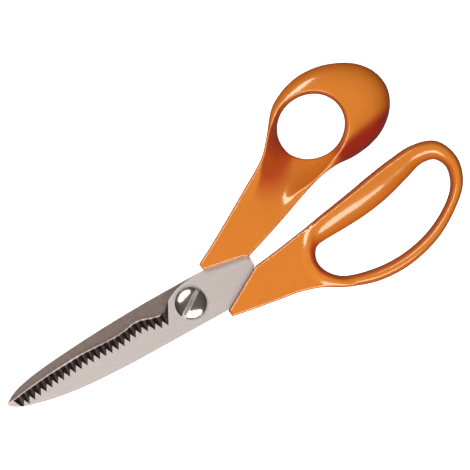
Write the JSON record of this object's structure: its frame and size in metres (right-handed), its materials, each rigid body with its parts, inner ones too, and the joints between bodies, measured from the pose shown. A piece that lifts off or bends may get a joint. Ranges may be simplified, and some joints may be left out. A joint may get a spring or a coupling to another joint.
{
  "type": "serrated shears",
  "caption": "General-purpose shears with a serrated blade, a plain blade, a slotted pivot screw and moulded orange bow handles for thumb and fingers.",
  "frame": {"origin": "on the pivot axis, in the back face of the finger blade", "axes": "+X from the pivot along the closed blades towards the handles; +Y towards the thumb bow; +Z towards the screw head"},
  "size_m": [0.2078, 0.0892, 0.017],
  "materials": {
    "blade_steel": "ground and brushed along its length",
    "pivot_steel": "polished",
    "washer_steel": "plain",
    "orange_plastic": "glossy moulded"
  },
  "bodies": {
    "finger_half": {"finger_blade": "blade_steel", "finger_handle": "orange_plastic", "pivot_post": "pivot_steel", "pivot_screw": "pivot_steel", "friction_washer": "washer_steel"},
    "thumb_half": {"thumb_blade": "blade_steel", "thumb_handle": "orange_plastic"}
  },
  "joints": [
    {"name": "blade_pivot", "type": "hinge", "parent": "finger_half", "child": "thumb_half", "pos_m": [0, 0, 0], "axis": [0, 0, 1], "range_deg": [0, 90]}
  ]
}
